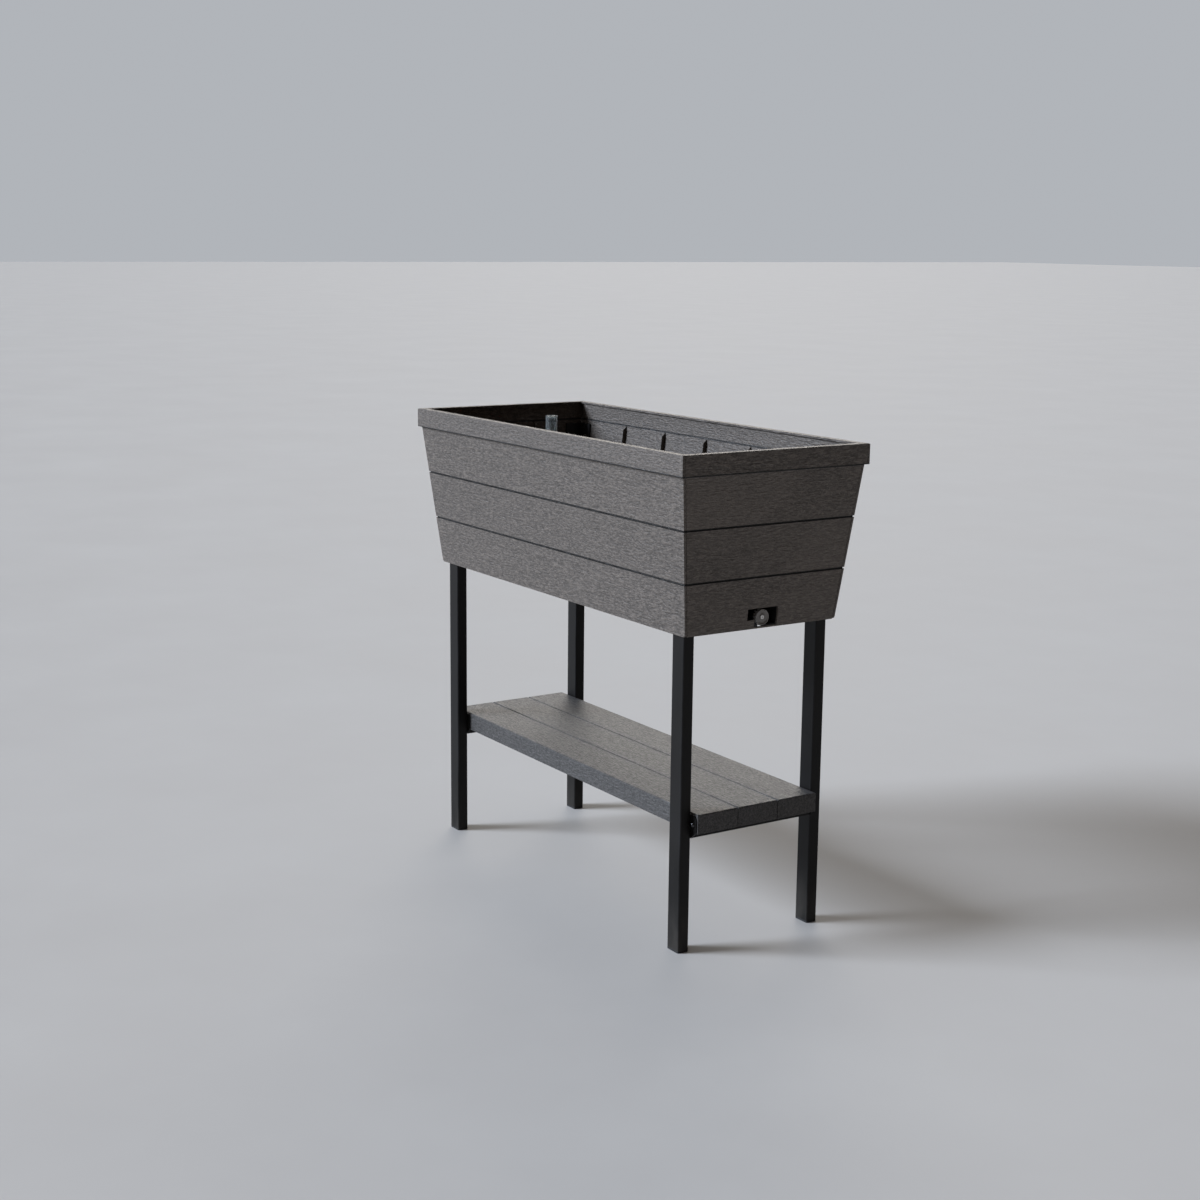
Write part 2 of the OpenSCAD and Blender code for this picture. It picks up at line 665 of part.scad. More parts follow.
// Steel channel between two legs, turned up at each end against them, on the +X side
module shelf_rail() color(black_steel) difference() {
    union() {
        along_y(2 * tab_y + rail_sheet) polygon([
            [rail_x0, rail_z0], [rail_x0, shelf_z0], [rail_x1, shelf_z0], [rail_x1, rail_z0],
            [rail_x1 - rail_sheet, rail_z0], [rail_x1 - rail_sheet, shelf_z0 - rail_sheet],
            [rail_x0 + rail_sheet, shelf_z0 - rail_sheet], [rail_x0 + rail_sheet, rail_z0]]);
        for (side = [0, 1]) mirror([0, side, 0]) translate([0, (tab_y + leg_inner_y) / 2, 0])
            along_y(rail_sheet) polygon([[rail_x0, rail_z0], [rail_x1, rail_z0], [tab_x1, tab_z0],
                [tab_x1, tab_z1 - tab_corner], [tab_x1 - tab_corner, tab_z1],
                [tab_x0 + tab_corner, tab_z1], [tab_x0, tab_z1 - tab_corner], [tab_x0, tab_z0]]);
    }
    for (side = [0, 1]) mirror([0, side, 0]) {
        for (z = rail_bolt_z) translate([leg_x, tab_y - cut, z]) rotate([-90, 0, 0])
            cylinder(r = m5_clearance, h = rail_sheet + 2 * cut);
        translate([side_bolt_x, tab_y - cut, side_bolt_z]) rotate([-90, 0, 0])
            cylinder(r = m5_clearance, h = rail_sheet + 2 * cut);
    }
    board_screw_places() cylinder(r = board_screw_radius + 0.2, h = board_screw_length, center = true);
}

function board_y(i) = -shelf_half_depth + board_width / 2 + i * (board_width + board_gap);
board_screw_x = (rail_x0 + rail_x1) / 2;
board_cells_end = tab_x0 - 2;
module board_screw_places() for (i = [0 : shelf_boards - 1], s = [-1, 1])
    translate([board_screw_x, board_y(i) + s * board_width / 4, shelf_z0 - rail_sheet]) children();

// A hollow moulded board, open underneath between its ribs
module shelf_board(i) color(resin) {
    half = board_width / 2;
    cell = 2 * board_cells_end / board_cells;
    difference() {
        intersection() {
            translate([0, board_y(i), 0]) along_x() polygon([
                [-half, shelf_z0], [half, shelf_z0], [half, shelf_height - board_bevel],
                [half - board_bevel, shelf_height], [-half + board_bevel, shelf_height],
                [-half, shelf_height - board_bevel]]);
            along_y() polygon([
                [-shelf_half_length, shelf_z0], [shelf_half_length, shelf_z0],
                [shelf_half_length, shelf_height - board_bevel],
                [shelf_half_length - board_bevel, shelf_height],
                [-shelf_half_length + board_bevel, shelf_height],
                [-shelf_half_length, shelf_height - board_bevel]]);
        }
        for (c = [0 : board_cells - 1]) translate([(c + 0.5) * cell - board_cells_end, board_y(i), shelf_z0])
            translate([(cell_wall - cell) / 2, -half + board_skin, -cut])
            cube([cell - cell_wall, board_width - 2 * board_skin, shelf_thickness - board_skin + cut]);
        // hollow ends, with a screw boss left standing over each rail screw
        for (side = [0, 1]) mirror([side, 0, 0]) difference() {
            translate([board_cells_end + board_skin, board_y(i) - half + board_side, shelf_z0 - cut])
                cube([shelf_half_length - board_cells_end - 2 * board_skin, board_width - 2 * board_side,
                    shelf_thickness - board_skin + cut]);
            board_screw_places() cylinder(r = board_boss, h = shelf_thickness);
        }
        for (side = [0, 1]) mirror([side, 0, 0]) board_screw_places()
            cylinder(r = board_screw_radius + 0.05, h = board_screw_length + 1);
        // room for the rail bolts' heads and bores for the side bolts
        for (side = [0, 1], face = [0, 1]) mirror([side, 0, 0]) mirror([0, face, 0]) {
            translate([leg_x - bolt_room, tab_y - rail_bolt_head - 1.2, shelf_z0 - cut])
                cube([2 * bolt_room, bolt_room, shelf_thickness - board_skin + cut]);
            translate([side_bolt_x, shelf_half_depth + cut, side_bolt_z]) rotate([90, 0, 0])
                cylinder(r = m5 + 0.05, h = side_bolt_length + cut);
        }
    }
}
module board_screws() color(zinc) for (side = [0, 1]) mirror([side, 0, 0]) board_screw_places() {
    translate([0, 0, -1]) cylinder(r = board_screw_radius, h = board_screw_length + 1);
    translate([0, 0, -2]) cylinder(r = 4, h = 2);
}

module rail_bolts() color(zinc) all_quadrants() for (z = rail_bolt_z)
    translate([leg_x, tab_y, z]) rotate([-90, 0, 0]) {
        translate([0, 0, -rail_bolt_head]) difference() {
            cylinder(r = rail_bolt_head_radius, h = rail_bolt_head);
            translate([0, 0, -cut]) cylinder(r = key_radius, h = cut + rail_bolt_head / 2, $fn = 6);
        }
        translate([0, 0, -rail_bolt_head / 4]) cylinder(r = m5, h = rail_bolt_grip + rail_bolt_head / 4);
    }
module weld_nuts() color(zinc) all_quadrants() for (z = rail_bolt_z)
    translate([leg_x, leg_inner_y + leg_wall, z]) rotate([-90, 0, 0]) difference() {
        cylinder(r = nut_radius, h = nut_height, $fn = 6);
        translate([0, 0, -cut]) cylinder(r = m5 + 0.05, h = nut_height + 2 * cut);
    }
module shelf_side_bolts() color(zinc) all_quadrants()
    translate([side_bolt_x, leg_inner_y, side_bolt_z]) rotate([90, 0, 0]) {
        translate([0, 0, -side_bolt_head / 4]) cylinder(r = m5, h = side_bolt_length + side_bolt_head / 4);
        rotate([180, 0, 0]) difference() {
            rotate_extrude() polygon([[0, 0], [side_bolt_head_radius, 0],
                [side_bolt_head_radius, 1.2], [side_bolt_head_radius * 0.75, side_bolt_head * 0.8],
                [side_bolt_head_radius * 0.4, side_bolt_head], [0, side_bolt_head]]);
            translate([0, 0, side_bolt_head - 1.5]) cylinder(r = key_radius, h = 1.5 + cut, $fn = 6);
        }
    }

// ---- Drain tap: everything turns about a line along X ----

module tap_axis(x) translate([x, 0, tap_z]) rotate([0, 90, 0]) children();
module tap_ring(x, outer, inner, h) tap_axis(x) difference() {
    cylinder(r = outer, h = h);
    translate([0, 0, -cut]) cylinder(r = inner, h = h + 2 * cut);
}

module tap_body() color(black_plastic) difference() {
    union() {
        tap_axis(pocket_x - spigot_length + gasket)
            cylinder(r = spigot_radius, h = spigot_length + tap_flange);
        tap_axis(flange_x) cylinder(r = tap_flange_radius, h = tap_flange);
        tap_axis(barrel_x - cut) cylinder(r = barrel_radius, h = barrel_length + cut);
        translate([spout_x, 0, spout_z0]) cylinder(r = spout_radius, h = tap_z - spout_z0);
    }
    tap_axis(pocket_x - spigot_length - cut)
        cylinder(r = spigot_bore, h = spigot_length + gasket + tap_flange + cut);
    tap_axis(barrel_x - cut) cylinder(r = seat_bore, h = seat_length + 2 * cut);
    tap_axis(seat_x) cylinder(r = barrel_bore, h = barrel_length);
    translate([spout_x, 0, spout_z0 - cut]) cylinder(r = spout_bore, h = tap_z - spout_z0);
}
module tap_gasket() color(rubber) tap_ring(pocket_x, tap_flange_radius - 1, spigot_radius + 0.1, gasket);
module tap_lock_nut() color(black_plastic) tap_axis(pocket_x - tray_wall - lock_nut) difference() {
    rotate([0, 0, 30]) cylinder(r = lock_nut_flats / cos(30), h = lock_nut, $fn = 6);
    translate([0, 0, -cut]) cylinder(r = spigot_radius + 0.05, h = lock_nut + 2 * cut);
}
module tap_bonnet() color(black_plastic) tap_axis(barrel_end - bonnet_insert) difference() {
    union() {
        cylinder(r = barrel_bore - 0.05, h = bonnet_insert + 0.5);
        translate([0, 0, bonnet_insert]) cylinder(r = barrel_radius, h = bonnet_head, $fn = 8);
    }
    translate([0, 0, -cut]) cylinder(r = spindle_radius + spindle_gap, h = 12);
    translate([0, 0, -cut])
        cylinder(r = spindle_radius + fit_gap + 2 * o_ring_radius, h = 2 * o_ring_radius + cut);
}
module tap_o_ring() color(rubber) tap_axis(barrel_end - bonnet_insert + o_ring_radius)
    rotate_extrude() translate([spindle_radius + fit_gap + o_ring_radius, 0])
        circle(r = o_ring_radius, $fn = 24);
module tap_washer() color(rubber) tap_ring(washer_x, washer_disc, 1.5, washer_thickness);
module tap_spindle() color(zinc) {
    tap_axis(disc_x) cylinder(r = washer_disc - 0.6, h = spindle_disc);
    tap_axis(disc_x) cylinder(r = spindle_radius, h = knob_x + knob_bore - disc_x);
    tap_axis(washer_x + 0.5) cylinder(r = 1.42, h = disc_x - washer_x);
}
module tap_knob() color([0.35, 0.35, 0.36]) tap_axis(knob_x) difference() {
    cylinder(r = knob_radius, h = knob_length);
    for (i = [0 : knob_flutes - 1]) rotate([0, 0, i * 360 / knob_flutes])
        translate([knob_radius + flute_radius / 2, 0, -cut])
        cylinder(r = flute_radius, h = knob_length - 1 + cut, $fn = 16);
    translate([0, 0, knob_length - knob_recess]) difference() {
        cylinder(r = knob_radius - knob_skirt, h = knob_recess + cut);
        translate([0, 0, -cut]) cylinder(r = knob_hub, h = knob_recess + 1);
    }
    translate([0, 0, -cut]) cylinder(r = knob_radius - knob_skirt, h = knob_length / 3 + cut);
    translate([0, 0, -cut]) cylinder(r = spindle_radius + 0.02, h = knob_bore + cut);
    cylinder(r = 1.65, h = knob_length + cut);
    translate([0, 0, knob_length - knob_screw_seat])
        cylinder(r = knob_screw_radius + 0.2, h = knob_screw_seat + cut);
}
module tap_knob_screw() color(zinc) tap_axis(knob_x + knob_length - knob_screw_seat) difference() {
    union() {
        cylinder(r = knob_screw_radius, h = 2);
        translate([0, 0, -1.5]) cylinder(r = 1.5, h = 2);
    }
    for (a = [0, 90]) rotate([0, 0, a]) translate([-1.8, -0.4, 1.1]) cube([3.6, 0.8, 2]);
}

// ---- Water gauge ----

module gauge_axis(z) translate([gauge_x, gauge_y, z]) children();
module gauge_tube() color(black_plastic) gauge_axis(0) difference() {
    union() {
        translate([0, 0, gauge_foot]) cylinder(r = gauge_radius, h = gauge_top - gauge_foot);
        translate([0, 0, grid_z + grid_thickness]) cylinder(r = gauge_radius + gauge_collar, h = 3);
    }
    translate([0, 0, gauge_foot + gauge_wall])
        cylinder(r = gauge_radius - gauge_wall, h = gauge_top);
    for (a = [0, 60, 120]) rotate([0, 0, a])
        translate([-gauge_radius - cut, -2, gauge_foot + gauge_wall])
        cube([2 * (gauge_radius + cut), 4, tray_height * 0.6]);
}
module gauge_window() color([0.8, 0.85, 0.88]) gauge_axis(0) difference() {
    union() {
        translate([0, 0, gauge_top]) cylinder(r = gauge_radius, h = window_z1 - gauge_top);
        translate([0, 0, gauge_top - window_insert])
            cylinder(r = gauge_radius - gauge_wall - 0.05, h = window_insert + cut);
    }
    translate([0, 0, gauge_top - window_insert - cut])
        cylinder(r = gauge_radius - 2 * gauge_wall,
            h = window_z1 - window_roof - gauge_top + window_insert + cut);
}
module gauge_float() color([0.9, 0.9, 0.88]) gauge_axis(float_z) difference() {
    cylinder(r = float_radius, h = float_height);
    translate([0, 0, float_height - rod_grip]) cylinder(r = rod_radius + 0.05, h = rod_grip + cut);
}
module gauge_rod() color([0.75, 0.12, 0.08]) gauge_axis(0) {
    translate([0, 0, float_z + float_height - rod_grip])
        cylinder(r = rod_radius, h = indicator_z + 1 - float_z - float_height + rod_grip);
    translate([0, 0, indicator_z]) cylinder(r = gauge_radius - 2 * gauge_wall - 1, h = indicator_height);
}

// ---- Nodes ----

front_panel();
back_panel();
drain_end_panel();
plain_end_panel();
quadrant(-1, -1) corner_brace();  // corner_brace_front_left
quadrant(1, -1) corner_brace();  // corner_brace_front_right
quadrant(-1, 1) corner_brace();  // corner_brace_back_left
quadrant(1, 1) corner_brace();  // corner_brace_back_right
brace_screws();
reservoir_tray();
tray_screws();
soil_grid_left();
soil_grid_right();
leg(-1, -1);  // leg_front_left
leg(1, -1);  // leg_front_right
leg(-1, 1);  // leg_back_left
leg(1, 1);  // leg_back_right
foot_cap(-1, -1);  // foot_cap_front_left
foot_cap(1, -1);  // foot_cap_front_right
foot_cap(-1, 1);  // foot_cap_back_left
foot_cap(1, 1);  // foot_cap_back_right
leg_plug(-1, -1);  // leg_plug_front_left
leg_plug(1, -1);  // leg_plug_front_right
leg_plug(-1, 1);  // leg_plug_back_left
leg_plug(1, 1);  // leg_plug_back_right
leg_bolts();
leg_washers();
mirror([1, 0, 0]) shelf_rail();  // shelf_rail_left
shelf_rail();  // shelf_rail_right
shelf_board(0);  // shelf_board_front
shelf_board(1);  // shelf_board_middle
shelf_board(2);  // shelf_board_back
rail_bolts();
weld_nuts();
shelf_side_bolts();
board_screws();
tap_body();
tap_gasket();
tap_lock_nut();
tap_bonnet();
tap_o_ring();
tap_spindle();
tap_washer();
tap_knob();
tap_knob_screw();
gauge_tube();
gauge_window();
gauge_float();
gauge_rod();
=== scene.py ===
"""Looks for the raised planter: moulded wood-grain resin, powder-coated steel and black plastic.

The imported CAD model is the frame. Its nodes keep their shape and get rounded edges and procedural
materials. The fluted tap knob and the gauge's level rings are built here.
Lengths are in metres unless a comment says otherwise. +X runs towards the drain tap, -Y is the front
and +Z is up.
"""
import json
import math

import bmesh
import bpy
from mathutils import Matrix, Vector


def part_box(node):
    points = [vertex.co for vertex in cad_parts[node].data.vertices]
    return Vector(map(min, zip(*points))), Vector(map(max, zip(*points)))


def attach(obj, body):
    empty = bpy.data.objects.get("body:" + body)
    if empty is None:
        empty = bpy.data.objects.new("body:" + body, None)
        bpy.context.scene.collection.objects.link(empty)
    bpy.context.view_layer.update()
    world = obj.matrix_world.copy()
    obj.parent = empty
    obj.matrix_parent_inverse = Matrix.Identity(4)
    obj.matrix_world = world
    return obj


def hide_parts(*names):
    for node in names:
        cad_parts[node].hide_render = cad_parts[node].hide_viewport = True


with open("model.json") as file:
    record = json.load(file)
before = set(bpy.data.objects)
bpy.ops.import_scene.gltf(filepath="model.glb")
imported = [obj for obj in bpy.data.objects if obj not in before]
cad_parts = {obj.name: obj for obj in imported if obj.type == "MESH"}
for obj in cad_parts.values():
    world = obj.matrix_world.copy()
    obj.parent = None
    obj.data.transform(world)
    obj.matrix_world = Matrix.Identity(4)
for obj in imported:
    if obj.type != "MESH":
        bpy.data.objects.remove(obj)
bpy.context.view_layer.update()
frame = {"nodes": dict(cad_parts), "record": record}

# ---- Sizes that the looks share with the frame ----

MM = 0.001
TAPER = 27 * MM            # how far each wall leans out over its height
RIM_OVERHANG = 5.5 * MM
RIM_HEIGHT = 32 * MM
BOARD_ROWS = 3             # rows that the grooves divide each wall into
GROOVE_HALF = 1.4 * MM     # half the width of a groove
WALL_LOW, WALL_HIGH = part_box("front_panel")
RIM_BOTTOM = WALL_HIGH.z - RIM_HEIGHT
BOX_BOTTOM = WALL_LOW.z
ROW_HEIGHT = (RIM_BOTTOM - BOX_BOTTOM) / BOARD_ROWS
BOTTOM_X = WALL_HIGH.x - RIM_OVERHANG - TAPER
SHELF_LOW, SHELF_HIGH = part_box("shelf_board_front")
BOARD_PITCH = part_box("shelf_board_middle")[0].y - SHELF_LOW.y
LEG_LOW, LEG_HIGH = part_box("leg_back_right")
KNOB_LOW, KNOB_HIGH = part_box("tap_knob")
GAUGE_LOW, GAUGE_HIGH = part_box("gauge_window")
BOARD_SHIFT = 1.37         # how far the grain of one board row is moved against the next
DUST_HEIGHT = 90 * MM      # how far up the legs dust from the ground reaches


# ---- Material helpers ----

class Shader:
    """One node material. Its methods add nodes and return the output socket that is wanted."""

    def __init__(self, name, **settings):
        self.material = bpy.data.materials.new(name)
        self.material.use_nodes = True
        self.tree = self.material.node_tree
        self.surface = self.tree.nodes["Principled BSDF"]
        self.position = self.add("ShaderNodeTexCoord").outputs["Object"]
        for socket, value in settings.items():
            self.surface.inputs[socket.replace("_", " ")].default_value = value

    def add(self, kind, inputs=(), **settings):
        node = self.tree.nodes.new(kind)
        for key, value in settings.items():
            setattr(node, key, value)
        for key, value in dict(inputs).items():
            if isinstance(value, bpy.types.NodeSocket):
                self.tree.links.new(value, node.inputs[key])
            else:
                node.inputs[key].default_value = value
        return node

    def axes(self):
        """The X, Y and Z of the position, as three sockets."""
        node = self.add("ShaderNodeSeparateXYZ", {"Vector": self.position})
        return node.outputs["X"], node.outputs["Y"], node.outputs["Z"]

    def join(self, x, y, z):
        return self.add("ShaderNodeCombineXYZ", {"X": x, "Y": y, "Z": z}).outputs["Vector"]

    def stretch(self, vector, scale):
        return self.add("ShaderNodeMapping", {"Vector": vector, "Scale": scale}).outputs["Vector"]

    def noise(self, vector, scale, detail=3.0, roughness=0.5, distortion=0.0):
        return self.add("ShaderNodeTexNoise", {
            "Vector": vector, "Scale": scale, "Detail": detail,
            "Roughness": roughness, "Distortion": distortion}).outputs["Fac"]

    def cells(self, vector, scale):
        return self.add("ShaderNodeTexVoronoi", {"Vector": vector, "Scale": scale}).outputs["Distance"]

    def math(self, operation, a, b=0.0):
        return self.add("ShaderNodeMath", {0: a, 1: b}, operation=operation).outputs["Value"]

    def fit(self, value, low, high, to_low=0.0, to_high=1.0):
        """Maps low..high to to_low..to_high, clamped."""
        return self.add("ShaderNodeMapRange", {
            "Value": value, "From Min": low, "From Max": high,
            "To Min": to_low, "To Max": to_high}).outputs["Result"]

    def mix(self, amount, a, b):
        """Colour a, giving way to colour b as amount goes from 0 to 1."""
        node = self.add("ShaderNodeMix", {"Factor": amount}, data_type="RGBA")
        for socket, value in ((node.inputs[6], a), (node.inputs[7], b)):
            if isinstance(value, bpy.types.NodeSocket):
                self.tree.links.new(value, socket)
            else:
                socket.default_value = (*value, 1.0)
        return node.outputs[2]

    def bump(self, height, distance, strength, normal=None):
        inputs = {"Height": height, "Distance": distance, "Strength": strength}
        if normal is not None:
            inputs["Normal"] = normal
        return self.add("ShaderNodeBump", inputs).outputs["Normal"]

    def strip(self, distance, width):
        """1 where distance is 0, fading to 0 at width."""
        return self.fit(distance, width * 0.3, width, 1.0, 0.0)

    def finish(self, **sockets):
        for name, value in sockets.items():
            self.tree.links.new(value, self.surface.inputs[name.replace("_", " ")])
        return self.material


def wall_edges(s):
    """Distance to the nearest corner or bottom edge of the tapered box."""
    x, y, z = s.axes()
    half = s.fit(z, BOX_BOTTOM, RIM_BOTTOM, BOTTOM_X, BOTTOM_X + TAPER)
    corner = s.math("ABSOLUTE", s.math("SUBTRACT", half, s.math("ABSOLUTE", x)))
    bottom = s.math("SUBTRACT", z, BOX_BOTTOM)
    return s.math("MINIMUM", corner, bottom)


def groove_painted_shade(s):
    """Mask of painted shade: 1 in the grooves between board rows and under the rim, 0 elsewhere."""
    z = s.axes()[2]
    rows = s.math("DIVIDE", s.math("SUBTRACT", z, BOX_BOTTOM), ROW_HEIGHT)
    off_middle = s.math("ABSOLUTE", s.math("SUBTRACT", s.math("FRACT", rows), 0.5))
    edge = GROOVE_HALF / ROW_HEIGHT
    groove = s.fit(s.math("SUBTRACT", 0.5, off_middle), edge, 1.5 * edge, 1.0, 0.0)
    above_bottom = s.math("GREATER_THAN", rows, 0.5)
    below_rim = s.math("LESS_THAN", rows, BOARD_ROWS + edge)
    return s.math("MULTIPLY", groove, s.math("MULTIPLY", above_bottom, below_rim))


def board_edges(s):
    """Distance to the nearest upper long edge or end of a shelf board."""
    x, y, z = s.axes()
    place = s.math("MODULO", s.math("SUBTRACT", y, SHELF_LOW.y), BOARD_PITCH)
    side = s.math("MINIMUM", place, s.math("SUBTRACT", SHELF_HIGH.y - SHELF_LOW.y, place))
    end = s.math("SUBTRACT", SHELF_HIGH.x, s.math("ABSOLUTE", x))
    return s.math("MAXIMUM", s.math("MINIMUM", side, end), s.math("SUBTRACT", SHELF_HIGH.z, z))


def tinted(shade, factor):
    return tuple(c * factor for c in shade)


def grain_layers(s, grain):
    """The layers of a moulded wood grain, from growth rings down to single specks."""
    warp = s.noise(s.stretch(grain, (3.0, 16.0, 16.0)), 1.0, 2.0, 0.5, 0.6)
    return {
        "rings": s.fit(s.math("SINE", s.math("MULTIPLY", warp, 90.0)), -1.0, 1.0),
        "streaks": s.noise(s.stretch(grain, (14.0, 260.0, 260.0)), 1.0, 2.0, 0.55),
        "fibres": s.noise(s.stretch(grain, (48.0, 480.0, 480.0)), 1.0, 3.0, 0.62),
        "dashes": s.noise(s.stretch(grain, (115.0, 330.0, 330.0)), 1.0, 2.0, 0.65),
        "specks": s.noise(s.stretch(grain, (320.0, 620.0, 620.0)), 1.0, 1.0, 0.5),
        "clouds": s.noise(grain, 5.5, 3.0, 0.5),
    }


def grain_colour(s, layer, shade):
    """The shade with each layer of the grain over it, darker or lighter."""
    colour = s.mix(s.fit(layer["fibres"], 0.34, 0.66), tinted(shade, 0.74), tinted(shade, 1.2))
    for name, low, high, at_low, at_high, factor in (
            ("dashes", 0.36, 0.5, 0.75, 0.0, 0.45),
            ("dashes", 0.5, 0.66, 0.0, 0.75, 1.9),
            ("specks", 0.56, 0.7, 0.0, 0.6, 2.4),
            ("streaks", 0.45, 0.72, 0.0, 0.3, 0.62),
            ("rings", 0.0, 1.0, 0.0, 0.1, 0.5),
            ("clouds", 0.35, 0.7, 0.0, 0.16, 1.35)):
        colour = s.mix(s.fit(layer[name], low, high, at_low, at_high), colour, tinted(shade, factor))
    return colour


def grain_relief(s, layer):
    relief = s.bump(layer["rings"], 0.2 * MM, 0.4)
    relief = s.bump(layer["streaks"], 0.5 * MM, 0.6, relief)
    relief = s.bump(layer["fibres"], 0.7 * MM, 1.0, relief)
    return s.bump(layer["dashes"], 1.6 * MM, 1.0, relief)


def resin(name, grain_axis, shade, row_axis, row_start, row_pitch, edge_distance, painted_shade=None):
    """Moulded resin with a wood grain along grain_axis. Each board row has its own grain and tone."""
    s = Shader(name, Specular_IOR_Level=0.42)
    x, y, z = s.axes()
    along, across = (x, y) if grain_axis == "x" else (y, x)
    row = z if row_axis == "z" else y
    board = s.math("FLOOR", s.math("DIVIDE", s.math("SUBTRACT", row, row_start), row_pitch))
    shifted = s.math("ADD", along, s.math("MULTIPLY", board, BOARD_SHIFT))
    layer = grain_layers(s, s.join(shifted, across, z))

    colour = grain_colour(s, layer, shade)
    board_tone = s.fit(s.math("SINE", s.math("MULTIPLY", board, 2.3)), -1.0, 1.0, 0.0, 0.1)
    colour = s.mix(board_tone, colour, tinted(shade, 0.55))
    patchy = s.fit(layer["clouds"], 0.4, 0.62, 0.1, 0.4)
    worn = s.math("MULTIPLY", s.strip(edge_distance(s), 1.6 * MM), patchy)
    colour = s.mix(worn, colour, tinted(shade, 1.8))
    # painted shade: the grooves between board rows and the line under the rim are darkened to near
    # black
    if painted_shade:
        colour = s.mix(painted_shade(s), colour, tinted(shade, 0.1))
    rough = s.fit(s.math("ADD", layer["fibres"], layer["dashes"]), 0.7, 1.3, 0.6, 0.4)
    return s.finish(Base_Color=colour, Roughness=rough, Normal=grain_relief(s, layer))


def tube_edges(s):
    """Distance to the nearest upright corner of a leg tube."""
    x, y, z = s.axes()
    gaps = []
    for axis, low, high in ((x, LEG_LOW.x, LEG_HIGH.x), (y, LEG_LOW.y, LEG_HIGH.y)):
        off_centre = s.math("ABSOLUTE", s.math("SUBTRACT", s.math("ABSOLUTE", axis), (low + high) / 2))
        gaps.append(s.math("ABSOLUTE", s.math("SUBTRACT", (high - low) / 2, off_centre)))
    return s.math("ADD", *gaps)


def powder_coat(name, shade):
    """Satin black powder coat: fine orange peel, rubbed corners, dust close to the ground."""
    s = Shader(name, Specular_IOR_Level=0.2)
    peel = s.noise(s.position, 900.0, 2.0, 0.5)
    waves = s.noise(s.position, 160.0, 2.0, 0.5)
    smudge = s.noise(s.stretch(s.position, (26.0, 26.0, 9.0)), 1.0, 4.0, 0.6)
    scuffs = s.noise(s.stretch(s.position, (380.0, 380.0, 40.0)), 1.0, 3.0, 0.6, 1.5)
    height = s.axes()[2]
    dust = s.math("MULTIPLY", s.fit(height, 0.0, DUST_HEIGHT, 0.5, 0.0), s.fit(smudge, 0.35, 0.7))
    rubbed = s.math("MULTIPLY", s.strip(tube_edges(s), 3.0 * MM), s.fit(smudge, 0.42, 0.66, 0.1, 0.7))
    colour = s.mix(s.fit(smudge, 0.3, 0.75), shade, tuple(c * 1.9 + 0.001 for c in shade))
    colour = s.mix(s.fit(scuffs, 0.7, 0.8, 0.0, 0.3), colour, (0.03, 0.03, 0.031))
    colour = s.mix(rubbed, colour, (0.034, 0.034, 0.036))
    colour = s.mix(dust, colour, (0.09, 0.08, 0.068))
    rough = s.math("ADD", s.fit(smudge, 0.3, 0.7, 0.38, 0.52), s.math("MULTIPLY", dust, 0.3))
    relief = s.bump(peel, 0.06 * MM, 0.8, s.bump(waves, 0.12 * MM, 0.5))
    return s.finish(Base_Color=colour, Roughness=rough, Normal=relief)


def moulded(name, shade, roughness, pebbles):
    """Injection-moulded plastic with flow marks and a fine texture of so many pebbles to a metre."""
    s = Shader(name, Specular_IOR_Level=0.4)
    pebble = s.cells(s.position, pebbles)
    flow = s.noise(s.stretch(s.position, (14.0, 30.0, 30.0)), 1.0, 3.0, 0.5, 1.0)
    colour = s.mix(s.fit(flow, 0.3, 0.7), shade, tinted(shade, 1.5))
    colour = s.mix(s.fit(pebble, 0.0, 0.7, 0.25, 0.0), colour, tinted(shade, 0.5))
    rough = s.fit(flow, 0.3, 0.7, roughness - 0.06, roughness + 0.08)
    relief = s.bump(pebble, 0.08 * MM, 0.7)
    return s.finish(Base_Color=colour, Roughness=rough, Normal=relief)


def metal(name, shade, roughness, tint):
    """Plated or bright steel with a patchy film of tint and fine scratches."""
    s = Shader(name, Metallic=1.0)
    film = s.noise(s.position, 220.0, 3.0, 0.6)
    spangle = s.cells(s.position, 900.0)
    lines = s.noise(s.position, 2600.0, 3.0, 0.6)
    colour = s.mix(s.fit(film, 0.35, 0.7), shade, tint)
    colour = s.mix(s.fit(spangle, 0.1, 0.6, 0.2, 0.0), colour, tinted(shade, 0.55))
    rough = s.fit(s.math("ADD", film, lines), 0.7, 1.3, roughness - 0.08, roughness + 0.14)
    relief = s.bump(lines, 0.04 * MM, 0.5)
    return s.finish(Base_Color=colour, Roughness=rough, Normal=relief)


def rubber(name):
    """Dull black rubber with a greyish bloom."""
    s = Shader(name, Specular_IOR_Level=0.3)
    skin = s.noise(s.position, 700.0, 3.0, 0.6)
    bloom = s.noise(s.position, 60.0, 3.0, 0.6)
    colour = s.mix(s.fit(bloom, 0.4, 0.75), (0.011, 0.011, 0.012), (0.035, 0.034, 0.033))
    rough = s.fit(skin, 0.3, 0.7, 0.68, 0.86)
    return s.finish(Base_Color=colour, Roughness=rough, Normal=s.bump(skin, 0.1 * MM, 0.6))


def clear_plastic(name):
    """Clear plastic, a little hazy and scratched."""
    s = Shader(name, Transmission_Weight=0.92, IOR=1.49)
    haze = s.noise(s.position, 90.0, 4.0, 0.6)
    scratches = s.noise(s.stretch(s.position, (1200.0, 1200.0, 60.0)), 1.0, 2.0, 0.6)
    colour = s.mix(s.fit(haze, 0.4, 0.7), (0.9, 0.95, 0.96), (0.8, 0.86, 0.86))
    rough = s.fit(s.math("ADD", haze, scratches), 0.8, 1.3, 0.05, 0.2)
    return s.finish(Base_Color=colour, Roughness=rough, Normal=s.bump(scratches, 0.03 * MM, 0.3))


